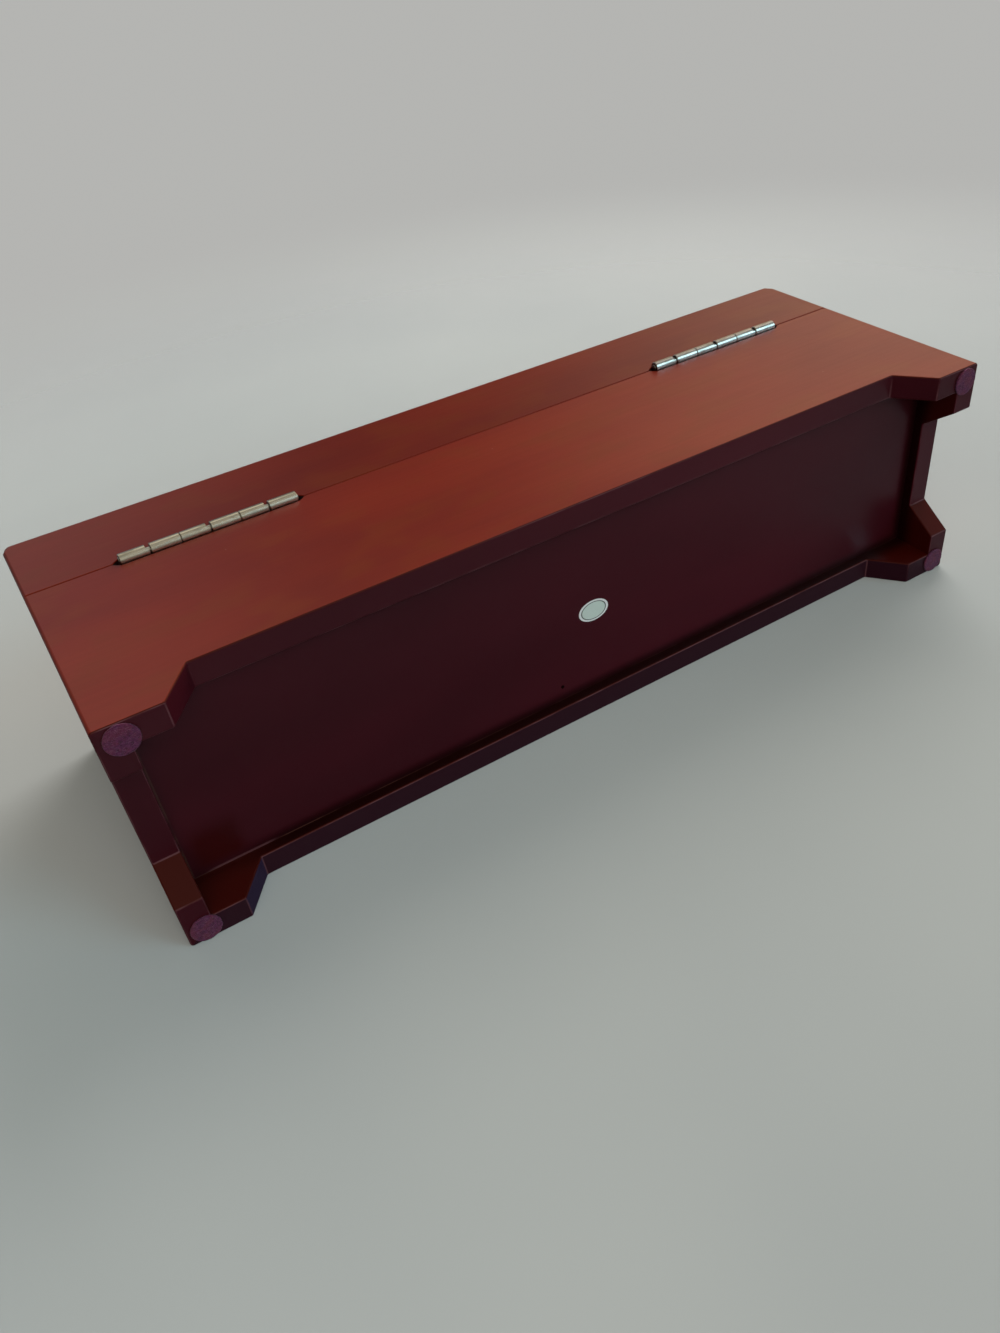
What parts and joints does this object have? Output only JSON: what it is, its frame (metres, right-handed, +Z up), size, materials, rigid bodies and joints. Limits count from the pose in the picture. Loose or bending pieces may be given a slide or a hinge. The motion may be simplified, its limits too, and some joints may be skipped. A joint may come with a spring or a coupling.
{
  "type": "wooden storage box",
  "caption": "Long narrow lacquered wooden box with a hinged lid, cut-out feet and felt pads under the corners.",
  "frame": {"origin": "middle of the case's footprint, on the surface that the felt pads rest on", "axes": "+Z up, +X along the case to the right as seen from the front, +Y to the back, where the hinges are"},
  "size_m": [0.331, 0.0918, 0.1165],
  "materials": {
    "lacquered_wood": "dark red-brown satin lacquer over close-grained wood",
    "nickel_plate": "nickel-plated, lightly brushed",
    "steel": "bright steel",
    "felt": "dusty purple pressed felt",
    "label_paper": "blank gloss paper with a thin border ring"
  },
  "bodies": {
    "case": {"front_wall": "lacquered_wood", "back_wall": "lacquered_wood", "left_wall": "lacquered_wood", "right_wall": "lacquered_wood", "bottom_panel": "lacquered_wood", "oval_label": "label_paper", "front_left_felt_pad": "felt", "front_right_felt_pad": "felt", "back_left_felt_pad": "felt", "back_right_felt_pad": "felt", "left_hinge_body_leaf": "nickel_plate", "right_hinge_body_leaf": "nickel_plate", "left_hinge_body_screws": "steel", "right_hinge_body_screws": "steel", "left_hinge_pin": "steel", "right_hinge_pin": "steel"},
    "lid": {"lid_front_rail": "lacquered_wood", "lid_back_rail": "lacquered_wood", "lid_left_rail": "lacquered_wood", "lid_right_rail": "lacquered_wood", "lid_panel": "lacquered_wood", "left_hinge_lid_leaf": "nickel_plate", "right_hinge_lid_leaf": "nickel_plate", "left_hinge_lid_screws": "steel", "right_hinge_lid_screws": "steel"}
  },
  "joints": [
    {"name": "lid_hinge", "type": "hinge", "parent": "case", "child": "lid", "pos_m": [0, 0.0452, 0.0794], "axis": [-1, 0, 0], "range_deg": [0, 180]}
  ]
}
